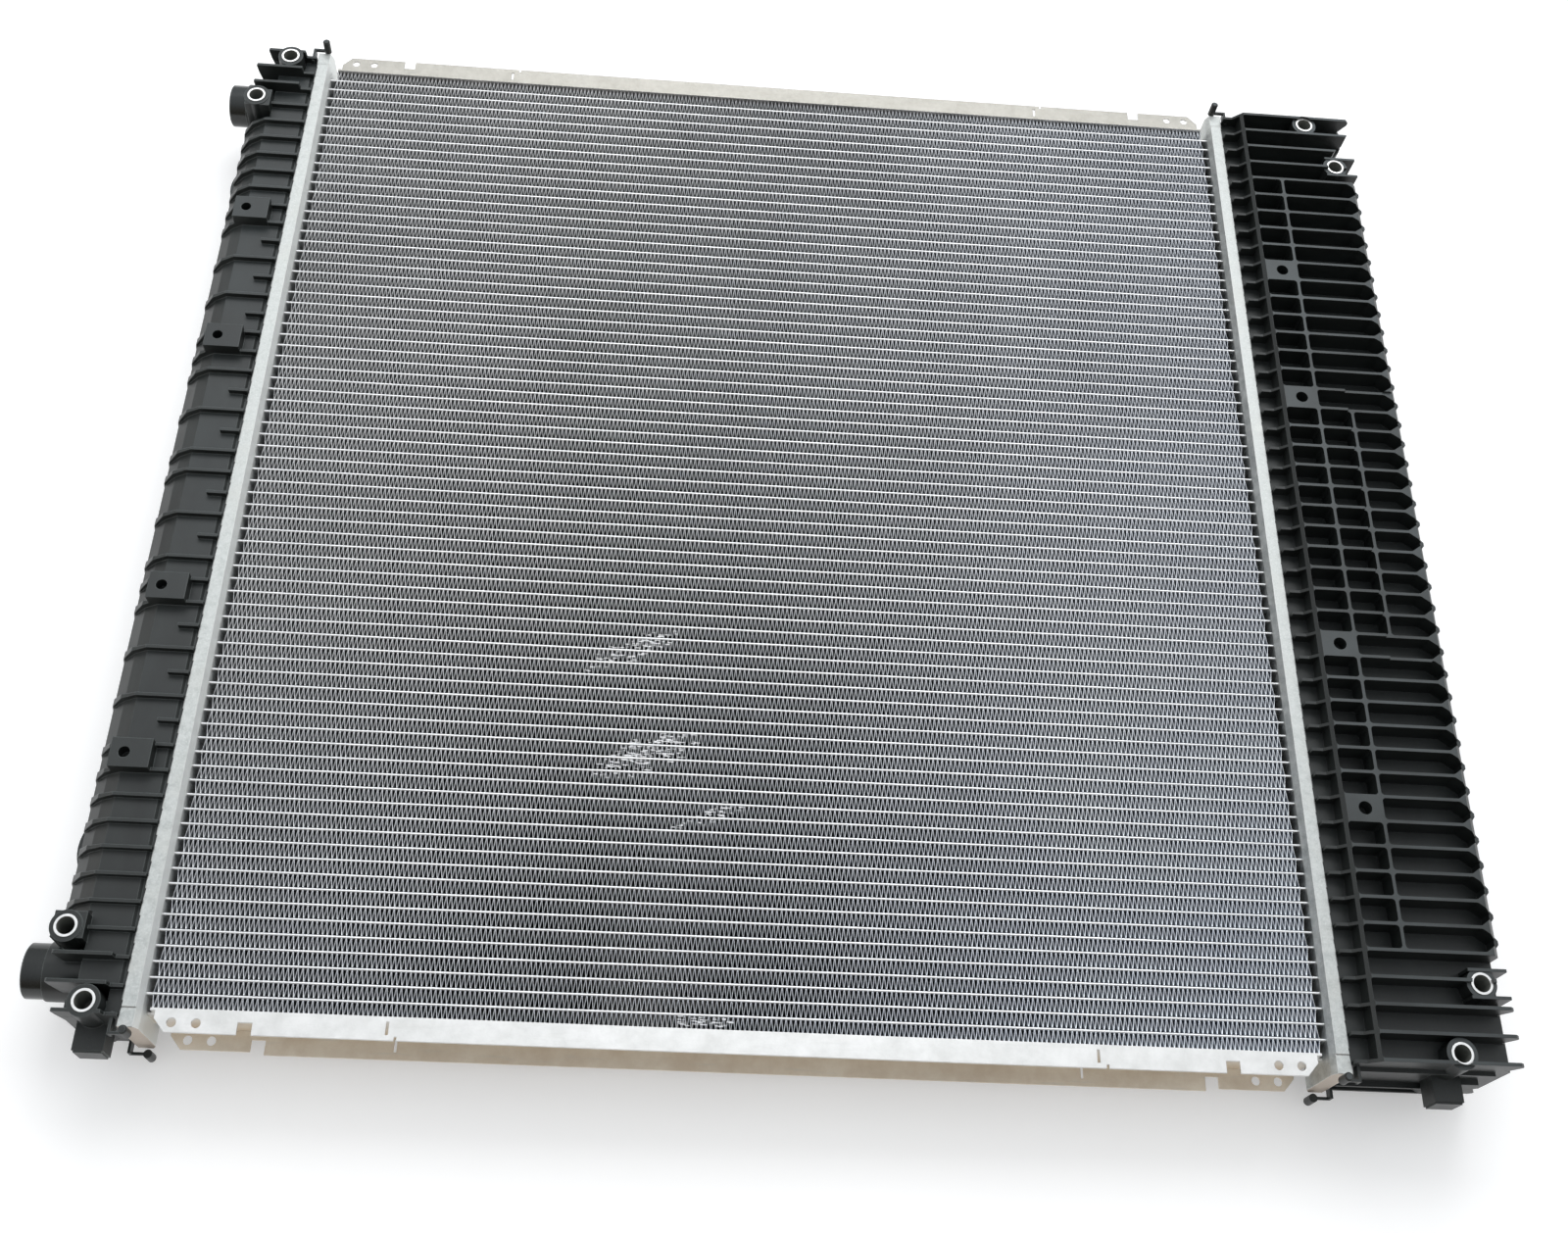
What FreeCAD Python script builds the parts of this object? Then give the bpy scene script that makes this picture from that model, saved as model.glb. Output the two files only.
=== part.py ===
import FreeCAD, Part
import math
import os
from FreeCAD import Vector

os.makedirs("parts", exist_ok=True)

# ---------------------------------------------------------------- driving dimensions (mm)
# Built around the centre of the core: X runs from the narrow tank to the wide tank,
# Y towards the top of the vehicle, Z towards the front face. Z = 0 is the core's mid-plane.

# core
TUBE_PITCH = 12.4
TUBES_PER_PASS = 38
TUBE_THICK = 2.2
TUBE_HALF_DEPTH = 27.8
TUBE_WALL = 0.4
TUBE_END = 469.8
FIN_HALF_DEPTH = 28.0
FIN_HALF_LENGTH = 461.0

# header plates and gaskets
HEADER_BASE = 465.0
HEADER_LIP = 480.0
HEADER_HALF_DEPTH = 37.0
HEADER_HALF_LENGTH = 499.0
SHEET = 2.0
LIP_THICK = 1.6
LIP_TURN = 5.5
SHOULDER_IN = 29.5
SHOULDER_OUT = 468.4
CRIMP_END = 484.0
GASKET_THICK = 3.2
GASKET_INNER_DEPTH = 28.0
GASKET_INNER_LENGTH = 488.5

# side plates
PLATE_WEB_IN = 482.5
PLATE_WEB_OUT = 484.5
PLATE_HALF_DEPTH = 30.6
PLATE_HALF_LENGTH = 455.0
FLANGE_EDGE = 500.6
REAR_FLANGE_EDGE = 502.6
REAR_WIDE_HALF = 385.0
PLATE_HOLES = (422.8, 441.4)
PLATE_HOLE_Y = 493.2
PLATE_HOLE_R = 3.6
PLATE_NOTCH = (380.3, 391.4)
PLATE_NOTCH_FLOOR = 491.3
PLATE_SLOT = 278.0

# ribs common to both tanks
RIB_FIRST = 10.9
RIB_PITCH = 21.8
RIB_LAST = 22
RIB_THICK = 2.8
FOOT_IN = HEADER_BASE + SHEET + GASKET_THICK
FOOT_OUT = 478.3
FOOT_HALF_DEPTH = 34.8
FOOT_HALF_LENGTH = 496.8
MOUTH_HALF_DEPTH = 26.0
MOUTH_HALF_LENGTH = 487.0
END_WALL = 492.0
RIB_START = 480.6

# pads that carry the cooler in front and the fan cowl behind
PAD_Y = (130.8, 283.4)
PAD_HOLE_X = 516.4

# retaining pins at the header corners
LUG = (471.5, 503.8)
LUG_R = 3.5
LUG_SPAN = (34.0, 48.8)
LUG_ARM = 1.1

# bushing sleeves
SLEEVE_OUT_R = 9.0
SLEEVE_BORE_R = 7.0
SLEEVE_LENGTH = 28.0
SLEEVE_PROUD = 0.7

# square locating pegs on the lower end
PEG_HALF = 12.0
PEG_END = 514.0

# narrow tank (left)
NARROW_RIB_TOP = 39.0
NARROW_WALL = 33.0
NARROW_CHAMFER = 520.0
NARROW_SIDE = 545.0
NARROW_PAD = (495.0, 528.0, 12.5, 46.5)
NARROW_PAD_HOLE_R = 4.75
NARROW_OUTER_BUSH = (530.8, 427.0)
NARROW_END_BUSH = (505.2, 483.0)
NARROW_BUSH_TOP = 47.0
NARROW_STEP = 490.5
NARROW_TIPS = ((20, 537.0), (21, 537.5), (22, 528.5))
BOSS_R = 12.6
NARROW_SHORT_RIBS = (1, 3, 7, 9, 11)
STUB_Y = 451.0
STUB_R = 21.5
STUB_BORE_R = 17.5
STUB_ROOT = 549.0
STUB_ROOT_R = 23.0
STUB_END = 566.0
NECK_X = 513.0
NECK_Y = 348.0
NECK_R = 31.75
NECK_BORE_R = 27.8
NECK_ROOT_R = 39.6
NECK_LEAD = 1.5
REAR_REST = -63.0
DRAIN = (505.0, -404.0)
DRAIN_BORE_R = 6.05
DRAIN_BOSS_END = -44.5

# wide tank (right)
WIDE_RIB_TOP = 53.0
WIDE_FOOT_TOP = 44.0
WIDE_FLOOR = 31.5
WIDE_SIDE = 611.0
WIDE_SIDE_BUMP = 613.4
WIDE_SHOULDER = 600.0
WIDE_CELL_TIP = 611.4
WIDE_LEDGE = 603.5
WIDE_LONG_RIBS = (498.0, 531.0, 565.0)
WIDE_RIB2_LAST = 18
WIDE_RIB3_LAST = 5
WIDE_PAD = (496.8, 530.2, 12.75)
WIDE_PAD_HOLE_R = 5.8
WIDE_OUTER_BUSH = (592.2, 427.0)
WIDE_END_BUSH = (566.1, 483.0)
WIDE_BUSH_TOP = 49.5
WIDE_CORNER_TIP = 614.5

ALL = 700.0


# ---------------------------------------------------------------- helpers
def box(x0, x1, y0, y1, z0, z1):
    x0, x1 = sorted((x0, x1))
    y0, y1 = sorted((y0, y1))
    z0, z1 = sorted((z0, z1))
    return Part.makeBox(x1 - x0, y1 - y0, z1 - z0, Vector(x0, y0, z0))


def rod(x, y, z0, z1, r):
    z0, z1 = sorted((z0, z1))
    return Part.makeCylinder(r, z1 - z0, Vector(x, y, z0))


def rod_x(x0, x1, y, z, r):
    return Part.makeCylinder(r, x1 - x0, Vector(x0, y, z), Vector(1, 0, 0))


def prism(points, along):
    wire = Part.makePolygon(points + [points[0]])
    return Part.Face(wire).extrude(along)


def prism_xz(outline, y0, y1):
    return prism([Vector(x, y0, z) for x, z in outline], Vector(0, y1 - y0, 0))


def prism_xy(outline, z0, z1):
    return prism([Vector(x, y, z0) for x, y in outline], Vector(0, 0, z1 - z0))


def both_faces(half):
    """Close an outline given for Z > 0, running outwards, by its mirror below Z = 0."""
    return half + [(x, -z) for x, z in reversed(half) if z != 0]


def rounded_prism(corners, z0, z1):
    """Upright prism on (x, y, radius) corners."""
    pieces = []
    count = len(corners)
    ends = []
    for i, (x, y, r) in enumerate(corners):
        here = Vector(x, y, z0)
        back = Vector(corners[i - 1][0], corners[i - 1][1], z0) - here
        ahead = Vector(corners[(i + 1) % count][0], corners[(i + 1) % count][1], z0) - here
        back.normalize()
        ahead.normalize()
        if r <= 0:
            ends.append((here, here))
            continue
        half = back.getAngle(ahead) / 2.0
        run = r / math.tan(half)
        a = here + back * run
        b = here + ahead * run
        middle = back + ahead
        middle.normalize()
        mid = here + middle * (r / math.sin(half) - r)
        pieces.append(Part.Arc(a, mid, b).toShape())
        ends.append((a, b))
    for i in range(count):
        a = ends[i][1]
        b = ends[(i + 1) % count][0]
        if a.distanceToPoint(b) > 1e-6:
            pieces.append(Part.makeLine(a, b))
    wire = Part.Wire(Part.__sortEdges__(pieces))
    return Part.Face(wire).extrude(Vector(0, 0, z1 - z0))


def flip_x(shape):
    return shape.mirror(Vector(0, 0, 0), Vector(1, 0, 0))


def flip_y(shape):
    return shape.mirror(Vector(0, 0, 0), Vector(0, 1, 0))


def flip_z(shape):
    return shape.mirror(Vector(0, 0, 0), Vector(0, 0, 1))


def ends_of(shape):
    """The shape and its mirror on the other end of the tank."""
    return [shape, flip_y(shape)]


def rib_y(k):
    return RIB_FIRST + RIB_PITCH * k


def fuse(first, others):
    return first.fuse(others).removeSplitter()


def cut(first, tools):
    return first.cut(Part.makeCompound(tools))


# ---------------------------------------------------------------- core
def flat_tube(y, thick, half_depth, x0, x1):
    flat = half_depth - thick / 2.0
    top, bottom = y + thick / 2.0, y - thick / 2.0
    edges = [
        Part.makeLine(Vector(x0, top, -flat), Vector(x0, top, flat)),
        Part.Arc(Vector(x0, top, flat), Vector(x0, y, half_depth),
                 Vector(x0, bottom, flat)).toShape(),
        Part.makeLine(Vector(x0, bottom, flat), Vector(x0, bottom, -flat)),
        Part.Arc(Vector(x0, bottom, -flat), Vector(x0, y, -half_depth),
                 Vector(x0, top, -flat)).toShape(),
    ]
    return Part.Face(Part.Wire(edges)).extrude(Vector(x1 - x0, 0, 0))


def tube_rows(first, last):
    outer = flat_tube(0, TUBE_THICK, TUBE_HALF_DEPTH, -TUBE_END, TUBE_END)
    inner = flat_tube(0, TUBE_THICK - 2 * TUBE_WALL, TUBE_HALF_DEPTH - TUBE_WALL,
                      -TUBE_END - 1, TUBE_END + 1)
    tube = outer.cut(inner)
    rows = []
    for k in range(first, last + 1):
        copy = tube.copy()
        copy.translate(Vector(0, k * TUBE_PITCH, 0))
        rows.append(copy)
    return Part.makeCompound(rows)


def fin_rows(side):
    """One strip of fins between each two tubes, and one outside the last tube."""
    half = (TUBE_PITCH - TUBE_THICK) / 2.0
    rows = []
    for k in range(TUBES_PER_PASS + 1):
        y = side * (k + 0.5) * TUBE_PITCH
        rows.append(box(-FIN_HALF_LENGTH, FIN_HALF_LENGTH, y - half, y + half,
                        -FIN_HALF_DEPTH, FIN_HALF_DEPTH))
    return Part.makeCompound(rows)


# ---------------------------------------------------------------- header plate and gasket
def header():
    outer = both_faces([(HEADER_LIP, HEADER_HALF_DEPTH - 0.8), (HEADER_LIP - 1.0, HEADER_HALF_DEPTH),
                        (SHOULDER_OUT, HEADER_HALF_DEPTH), (HEADER_BASE, SHOULDER_IN)])
    inner = both_faces([(HEADER_LIP - LIP_THICK, HEADER_HALF_DEPTH - SHEET),
                        (SHOULDER_OUT + 1.2, HEADER_HALF_DEPTH - SHEET),
                        (HEADER_BASE + SHEET, SHOULDER_IN - 0.8)])
    pan = prism_xz(outer, -HEADER_HALF_LENGTH, HEADER_HALF_LENGTH)
    hollow = prism_xz(inner, -HEADER_HALF_LENGTH + SHEET, HEADER_HALF_LENGTH - SHEET)
    mouth = box(HEADER_BASE + SHEET, HEADER_LIP + 1,
                -HEADER_HALF_LENGTH + LIP_TURN, HEADER_HALF_LENGTH - LIP_TURN,
                -SHOULDER_IN + 1, SHOULDER_IN - 1)
    lip_gap = box(FOOT_OUT - 1, HEADER_LIP + 1,
                  -HEADER_HALF_LENGTH + LIP_TURN, HEADER_HALF_LENGTH - LIP_TURN,
                  -HEADER_HALF_DEPTH + LIP_TURN, HEADER_HALF_DEPTH - LIP_TURN)
    slots = [flat_tube(k * TUBE_PITCH, TUBE_THICK, TUBE_HALF_DEPTH, HEADER_BASE - 1, HEADER_BASE + 4)
             for k in range(-TUBES_PER_PASS, TUBES_PER_PASS + 1)]
    # the crimp stops short of the corners; its edge is scalloped once per tank rib
    relief = []
    corner = box(HEADER_BASE + 0.8, HEADER_LIP + 1, CRIMP_END, HEADER_HALF_LENGTH + 1,
                 HEADER_HALF_DEPTH - 0.7, HEADER_HALF_DEPTH + 1)
    seam = box(HEADER_BASE + 0.8, HEADER_LIP + 1, CRIMP_END, CRIMP_END + 0.8,
               HEADER_HALF_DEPTH - 1.2, HEADER_HALF_DEPTH + 1)
    for tool in (corner, seam):
        for piece in ends_of(tool):
            relief += [piece, flip_z(piece)]
    for k in range(-RIB_LAST, RIB_LAST + 1):
        y = k * RIB_PITCH
        scallop = prism_xy([(HEADER_LIP - 1.2, y), (HEADER_LIP + 0.1, y + 0.6),
                            (HEADER_LIP + 0.1, y - 17.0)],
                           HEADER_HALF_DEPTH - LIP_TURN - 1, HEADER_HALF_DEPTH + 1)
        relief += [scallop, flip_z(scallop)]
    return cut(pan, [hollow, mouth, lip_gap] + slots + relief)


def gasket():
    ring = box(HEADER_BASE + SHEET, FOOT_IN, -FOOT_HALF_LENGTH, FOOT_HALF_LENGTH,
               -FOOT_HALF_DEPTH, FOOT_HALF_DEPTH)
    ring = ring.cut(box(HEADER_BASE, FOOT_IN + 1, -GASKET_INNER_LENGTH, GASKET_INNER_LENGTH,
                        -GASKET_INNER_DEPTH, GASKET_INNER_DEPTH))
    bevel = prism_xz([(HEADER_BASE + SHEET - 1, SHOULDER_IN - 0.9),
                      (HEADER_BASE + SHEET + 0.1, SHOULDER_IN - 0.9),
                      (SHOULDER_OUT + 1.3, HEADER_HALF_DEPTH - SHEET),
                      (SHOULDER_OUT + 1.3, HEADER_HALF_DEPTH),
                      (HEADER_BASE + SHEET - 1, HEADER_HALF_DEPTH)],
                     -HEADER_HALF_LENGTH, HEADER_HALF_LENGTH)
    return ring.cut([bevel, flip_z(bevel)])


# ---------------------------------------------------------------- side plates
def side_plate():
    """Channel along the upper edge of the core."""
    depth = PLATE_HALF_DEPTH
    ends = PLATE_HALF_LENGTH
    web = box(-ends - 4, ends + 4, PLATE_WEB_IN, PLATE_WEB_OUT, -depth, depth)
    front = [(-ends, PLATE_WEB_IN), (ends, PLATE_WEB_IN), (ends, 490.5), (ends - 9, FLANGE_EDGE),
             (-ends + 9, FLANGE_EDGE), (-ends, 490.5)]
    wide = REAR_WIDE_HALF
    rear = [(-ends, PLATE_WEB_IN), (ends, PLATE_WEB_IN), (ends, 490.5), (ends - 9, FLANGE_EDGE),
            (wide, FLANGE_EDGE), (wide, REAR_FLANGE_EDGE), (-wide, REAR_FLANGE_EDGE),
            (-wide, FLANGE_EDGE), (-ends + 9, FLANGE_EDGE), (-ends, 490.5)]
    tongues = [box(s * (ends + 3), s * HEADER_BASE, PLATE_WEB_IN, PLATE_WEB_OUT, -14, 14)
               for s in (-1, 1)]
    plate = fuse(web, [prism_xy(front, depth - SHEET, depth),
                       prism_xy(rear, -depth, -depth + SHEET)] + tongues)
    openings = []
    for s in (-1, 1):
        openings += [rod(s * x, PLATE_HOLE_Y, -ALL, ALL, PLATE_HOLE_R) for x in PLATE_HOLES]
        openings.append(box(s * PLATE_NOTCH[0], s * PLATE_NOTCH[1], PLATE_NOTCH_FLOOR, 520.0,
                            -ALL, ALL))
        openings.append(box(s * PLATE_SLOT - 1.1, s * PLATE_SLOT + 1.1, 486.5, 496.5, -ALL, ALL))
        openings.append(box(s * PLATE_SLOT + 6.0, s * PLATE_SLOT + 8.0, 497.6, 520.0, 0, ALL))
    return cut(plate, openings)


# ---------------------------------------------------------------- features shared by the tanks
def foot():
    return box(FOOT_IN, FOOT_OUT, -FOOT_HALF_LENGTH, FOOT_HALF_LENGTH,
               -FOOT_HALF_DEPTH, FOOT_HALF_DEPTH)


def corner_lugs():
    """Short pins that stand off the tank beside the four corners of the header plate."""
    x, y = LUG
    low, high = LUG_SPAN
    pin = rod(x, y, low, high, LUG_R).fuse([
        Part.makeCone(LUG_R, LUG_R - 1.2, 1.2, Vector(x, y, high)),
        box(x, 486.0, y - LUG_ARM, y + LUG_ARM, low, low + 3.0),
        box(486.0 - 2 * LUG_ARM, 486.0, 488.0, y + LUG_ARM, 28.0, low + 3.0)])
    pieces = []
    for piece in ends_of(pin):
        pieces += [piece, flip_z(piece)]
    return pieces


def sleeve(x, y, top):
    ring = rod(x, y, top - SLEEVE_LENGTH, top + SLEEVE_PROUD, SLEEVE_OUT_R)
    return ring.cut(rod(x, y, -ALL, ALL, SLEEVE_BORE_R))


def peg(x):
    tip = PEG_END - 1.5
    shank = box(x - PEG_HALF, x + PEG_HALF, -END_WALL + 1, -tip, -PEG_HALF, PEG_HALF)
    small = PEG_HALF - 1.2
    nose = box(x - small, x + small, -tip, -PEG_END, -small, small)
    return shank.fuse(nose)


# ---------------------------------------------------------------- narrow tank
NARROW_RIB = both_faces([(RIB_START, NARROW_RIB_TOP), (NARROW_CHAMFER, NARROW_RIB_TOP),
                         (534.0, 30.5), (543.8, 15.5), (NARROW_SIDE + 0.3, 7.0)])


def narrow_body(shrink):
    """Pressure vessel of the narrow tank, or its cavity when shrunk by the wall."""
    top = NARROW_WALL - shrink
    drop = shrink * 0.3
    full = both_faces([(FOOT_OUT - 1, 31.0 - shrink), (483.0, 31.0 - shrink), (485.5, top),
                       (NARROW_CHAMFER - shrink * 0.5, top), (532.0 - shrink, 25.0 - drop),
                       (543.5 - shrink, 12.5 - drop), (NARROW_SIDE - shrink, 0.0)])
    middle = both_faces([(FOOT_OUT - 1, 31.0 - shrink), (483.0, 31.0 - shrink), (485.5, top),
                         (517.0 - shrink, top)])
    small = both_faces([(FOOT_OUT - 1, 31.0 - shrink), (492.0 - shrink, 31.0 - shrink)])
    end = END_WALL if shrink == 0 else MOUTH_HALF_LENGTH
    return prism_xz(full, -411 + shrink, 411 - shrink).fuse([
        prism_xz(middle, -467 + shrink, 467 - shrink),
        prism_xz(small, -end, end)])


def narrow_ribs():
    """Full ribs, each thickening into a horn down the outer side, short ribs and corner ribs."""
    flat = []
    horns = []
    for k in range(19):
        reach = 498.0 if k in NARROW_SHORT_RIBS else NARROW_CHAMFER + 0.5
        flat += ends_of(box(RIB_START, reach, rib_y(k) - RIB_THICK / 2, rib_y(k) + RIB_THICK / 2,
                            -NARROW_RIB_TOP, NARROW_RIB_TOP))
        if k in NARROW_SHORT_RIBS:
            continue
        y = rib_y(k)
        horn = prism_xy([(NARROW_CHAMFER - 1, y - 1.3), (531.0, y - 1.7), (539.0, y - 2.5),
                         (NARROW_SIDE + 1, y - 4.0), (NARROW_SIDE + 1, y + 4.0), (539.0, y + 2.5),
                         (531.0, y + 1.7), (NARROW_CHAMFER - 1, y + 1.3)],
                        -NARROW_RIB_TOP, NARROW_RIB_TOP)
        horns += ends_of(horn)
    shaped = Part.makeCompound(horns).common(prism_xz(NARROW_RIB, -END_WALL, END_WALL))
    low = both_faces([(RIB_START, NARROW_RIB_TOP), (524.0, NARROW_RIB_TOP), (524.0, 24.0)])
    outlines = [(19, low)]
    for k, tip in NARROW_TIPS:
        outlines.append((k, both_faces([
            (RIB_START, NARROW_RIB_TOP), (NARROW_STEP, NARROW_RIB_TOP),
            (NARROW_STEP + 0.8, NARROW_BUSH_TOP), (tip - 1.0, NARROW_BUSH_TOP),
            (tip, NARROW_BUSH_TOP - 1.0), (tip - 1.0, 36.0), (tip - 6.0, 10.0)])))
    plates = []
    for k, outline in outlines:
        y = min(rib_y(k), END_WALL - RIB_THICK / 2)
        plates += ends_of(prism_xz(outline, y - RIB_THICK / 2, y + RIB_THICK / 2))
    return flat + shaped.Solids + plates


def narrow_pads():
    x0, x1, half, top = NARROW_PAD
    pads = []
    for y in PAD_Y:
        block = box(x0, x1, y - half, y + half, 31.0, top)
        shelf = prism_xz([(517.0, 31.5), (x1, 31.5), (x1, 25.0), (519.0, 25.0)],
                         y - half, y + half)
        for piece in ends_of(block.fuse(shelf)):
            pads += [piece, flip_z(piece)]
    return pads


def narrow_tank():
    x, y = NARROW_OUTER_BUSH
    outer_boss = [box(x - 14.3, x + 10.5, y - 12, y + 9, 8.0, NARROW_BUSH_TOP - 1.0),
                  rod(x, y, 8.0, NARROW_BUSH_TOP, BOSS_R)]
    ex, ey = NARROW_END_BUSH
    end_boss = [rod(ex, ey, -NARROW_RIB_TOP, NARROW_BUSH_TOP, BOSS_R)]
    bridge = box(486.0, 524.0, ey - 4, END_WALL, -NARROW_RIB_TOP + 4, NARROW_RIB_TOP - 9)
    stub = rod_x(512.0, STUB_END - 1.0, STUB_Y, 0, STUB_R).fuse([
        rod_x(512.0, STUB_ROOT, STUB_Y, 0, STUB_ROOT_R),
        Part.makeCone(STUB_R, STUB_R - 1.0, 1.0, Vector(STUB_END - 1.0, STUB_Y, 0), Vector(1, 0, 0))])
    root_end = NARROW_SIDE - 64
    root = rod(NECK_X, NECK_Y, -NARROW_RIB_TOP, -6.0, NECK_ROOT_R).common(
        box(root_end, ALL, 0, ALL, -ALL, ALL))
    neck = rod(NECK_X, NECK_Y, REAR_REST + NECK_LEAD, -NARROW_RIB_TOP, NECK_R).fuse(
        Part.makeCone(NECK_R - NECK_LEAD, NECK_R, NECK_LEAD, Vector(NECK_X, NECK_Y, REAR_REST)))
    solids = [foot()] + narrow_ribs() + narrow_pads() + corner_lugs()
    for piece in outer_boss + end_boss + [bridge, stub, root, neck]:
        solids += ends_of(piece)
    dx, dy = DRAIN
    solids.append(rod(dx, dy, DRAIN_BOSS_END, -31.0, 11.5))
    solids.append(peg(NARROW_END_BUSH[0]))
    tank = narrow_body(0).fuse(solids)

    hollows = [narrow_body(3.0),
               box(FOOT_IN - 1, FOOT_OUT, -MOUTH_HALF_LENGTH, MOUTH_HALF_LENGTH,
                   -MOUTH_HALF_DEPTH, MOUTH_HALF_DEPTH)]
    tank = tank.cut(hollows)
    bores = []
    bores += ends_of(rod(x, y, NARROW_BUSH_TOP - SLEEVE_LENGTH, ALL, SLEEVE_OUT_R))
    bores += ends_of(rod(ex, ey, NARROW_BUSH_TOP - SLEEVE_LENGTH, ALL, SLEEVE_OUT_R))
    bores += ends_of(rod(ex, ey, -ALL, NARROW_BUSH_TOP, SLEEVE_BORE_R + 0.5))
    bores += ends_of(rod_x(508.0, STUB_END + 1, STUB_Y, 0, STUB_BORE_R))
    bores += ends_of(rod(NECK_X, NECK_Y, -ALL, -24.0, NECK_BORE_R))
    for y in PAD_Y:
        for piece in ends_of(rod(PAD_HOLE_X, y, 34.0, ALL, NARROW_PAD_HOLE_R)):
            bores += [piece, flip_z(piece)]
    bores.append(rod(dx, dy, -ALL, -28.0, DRAIN_BORE_R))
    tank = cut(tank, bores)
    guides = []
    for z in (27.0, -30.5):
        guides += ends_of(box(487.0, 518.0, 1.9, 4.1, z, z + 3.5))
    return flip_x(fuse(tank, guides))


def pass_baffle():
    """Plate across the middle of the narrow tank that turns the flow into two passes."""
    reach = NARROW_CHAMFER - 2.0
    outline = both_faces([(472.2, 25.6), (482.5, 25.6), (485.5, 29.6), (reach, 29.6),
                          (528.4, 23.5), (539.9, 11.1), (NARROW_SIDE - 3.6, 0.0)])
    return flip_x(prism_xz(outline, -1.5, 1.5))


def baffle_seal():
    strip = box(470.0, 474.2, -3.2, 3.2, -25.4, 25.4)
    return flip_x(strip.cut(box(472.2, 480.0, -1.5, 1.5, -30, 30)))


# ---------------------------------------------------------------- wide tank
def wide_cells():
    """Pockets between the ribs of the front face."""
    long1, long2, long3 = WIDE_LONG_RIBS
    t = RIB_THICK / 2
    cells = []
    for k in range(-RIB_LAST - 1, RIB_LAST):
        y0 = (rib_y(k) if k >= 0 else -rib_y(-k - 1)) + t
        y1 = (rib_y(k + 1) if k + 1 >= 0 else -rib_y(-k - 2)) - t
        middle = (y0 + y1) / 2
        row = max(abs(y0), abs(y1))
        cells.append(box(RIB_START - 1, long1 - t, y0, y1, WIDE_FLOOR + 1, ALL))
        starts = [long1 + t]
        if row <= rib_y(WIDE_RIB2_LAST):
            starts.append(long2 + t)
        if row <= rib_y(WIDE_RIB3_LAST):
            starts.append(long3 + t)
        padded = any(abs(abs(middle) - y) < 3 for y in PAD_Y)
        for i, start in enumerate(starts):
            if i == 0 and padded:
                continue
            if i + 1 < len(starts):
                stop = starts[i + 1] - 2 * t
                corners = [(start, y0, 3), (stop, y0, 3), (stop, y1, 3), (start, y1, 3)]
            elif row <= rib_y(WIDE_RIB2_LAST):
                corners = [(start, y0, 3), (WIDE_SHOULDER, y0, 4), (WIDE_CELL_TIP, middle - 1.2, 0),
                           (WIDE_CELL_TIP, middle + 1.2, 0), (WIDE_SHOULDER, y1, 4), (start, y1, 3)]
            else:
                corners = [(start, y0, 2), (640.0, y0, 0), (640.0, y1, 0), (start, y1, 2)]
            cells.append(rounded_prism(corners, WIDE_FLOOR, 60.0))
    return cells


def wide_body():
    half = [(RIB_START - 3, 31.0), (RIB_START, 31.0), (RIB_START, WIDE_FOOT_TOP),
            (490.0, WIDE_FOOT_TOP), (500.0, WIDE_RIB_TOP)]
    limit = rib_y(WIDE_RIB2_LAST) + RIB_THICK / 2
    full = prism_xz(both_faces(half + [(606.0, WIDE_RIB_TOP), (WIDE_SIDE, 47.0)]), -limit, limit)
    ends = prism_xz(both_faces(half + [(WIDE_LEDGE, WIDE_RIB_TOP), (WIDE_LEDGE, 38.0),
                                       (WIDE_SIDE + 0.5, 31.0)]), -END_WALL, END_WALL)
    return full.fuse(ends)


def wide_cavity():
    half = [(FOOT_OUT - 1, MOUTH_HALF_DEPTH), (484.0, MOUTH_HALF_DEPTH), (487.0, 28.0)]
    full = both_faces(half + [(600.0, 28.0), (607.0, 20.0)])
    middle = both_faces(half + [(572.0, 28.0)])
    small = both_faces(half + [(545.0, 28.0)])
    return [prism_xz(full, -400, 400).fuse([prism_xz(middle, -462, 462),
                                            prism_xz(small, -MOUTH_HALF_LENGTH, MOUTH_HALF_LENGTH)]),
            box(FOOT_IN - 1, FOOT_OUT, -MOUTH_HALF_LENGTH, MOUTH_HALF_LENGTH,
                -MOUTH_HALF_DEPTH, MOUTH_HALF_DEPTH)]


def wide_corner():
    """Ribs and bosses outboard of the vessel at the upper end."""
    tip = WIDE_CORNER_TIP
    outline = both_faces([(560.0, WIDE_RIB_TOP), (tip - 3, WIDE_RIB_TOP), (tip, WIDE_RIB_TOP - 3),
                          (tip, WIDE_RIB_TOP - 6), (596.0, 14.0)])
    pieces = []
    for k in (20, 21, 22):
        y = min(rib_y(k), END_WALL - RIB_THICK / 2)
        pieces.append(prism_xz(outline, y - RIB_THICK / 2, y + RIB_THICK / 2))
    x, y = WIDE_OUTER_BUSH
    for side in (-11.0, 11.0):
        pieces.append(box(582.0, tip, y + side - 1.3, y + side + 1.3, 12.0, 50.5))
    pieces.append(rod(x, y, -40.0, WIDE_BUSH_TOP, BOSS_R))
    ex, ey = WIDE_END_BUSH
    pieces.append(rod(ex, ey, -40.0, WIDE_BUSH_TOP, BOSS_R))
    return pieces


def wide_end_wall():
    """Ledges and a stepped block on the end wall, clear of the peg."""
    return [box(486.0, 600.0, END_WALL - 1, END_WALL + 3.0, 26.0, 29.0),
            box(486.0, 597.0, END_WALL - 1, END_WALL + 4.5, -22.0, -18.5),
            box(486.0, 590.0, END_WALL - 1, END_WALL + 3.0, -45.0, -41.5),
            box(583.0, 597.0, END_WALL - 1, END_WALL + 4.5, -22.0, 2.0)]


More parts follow.
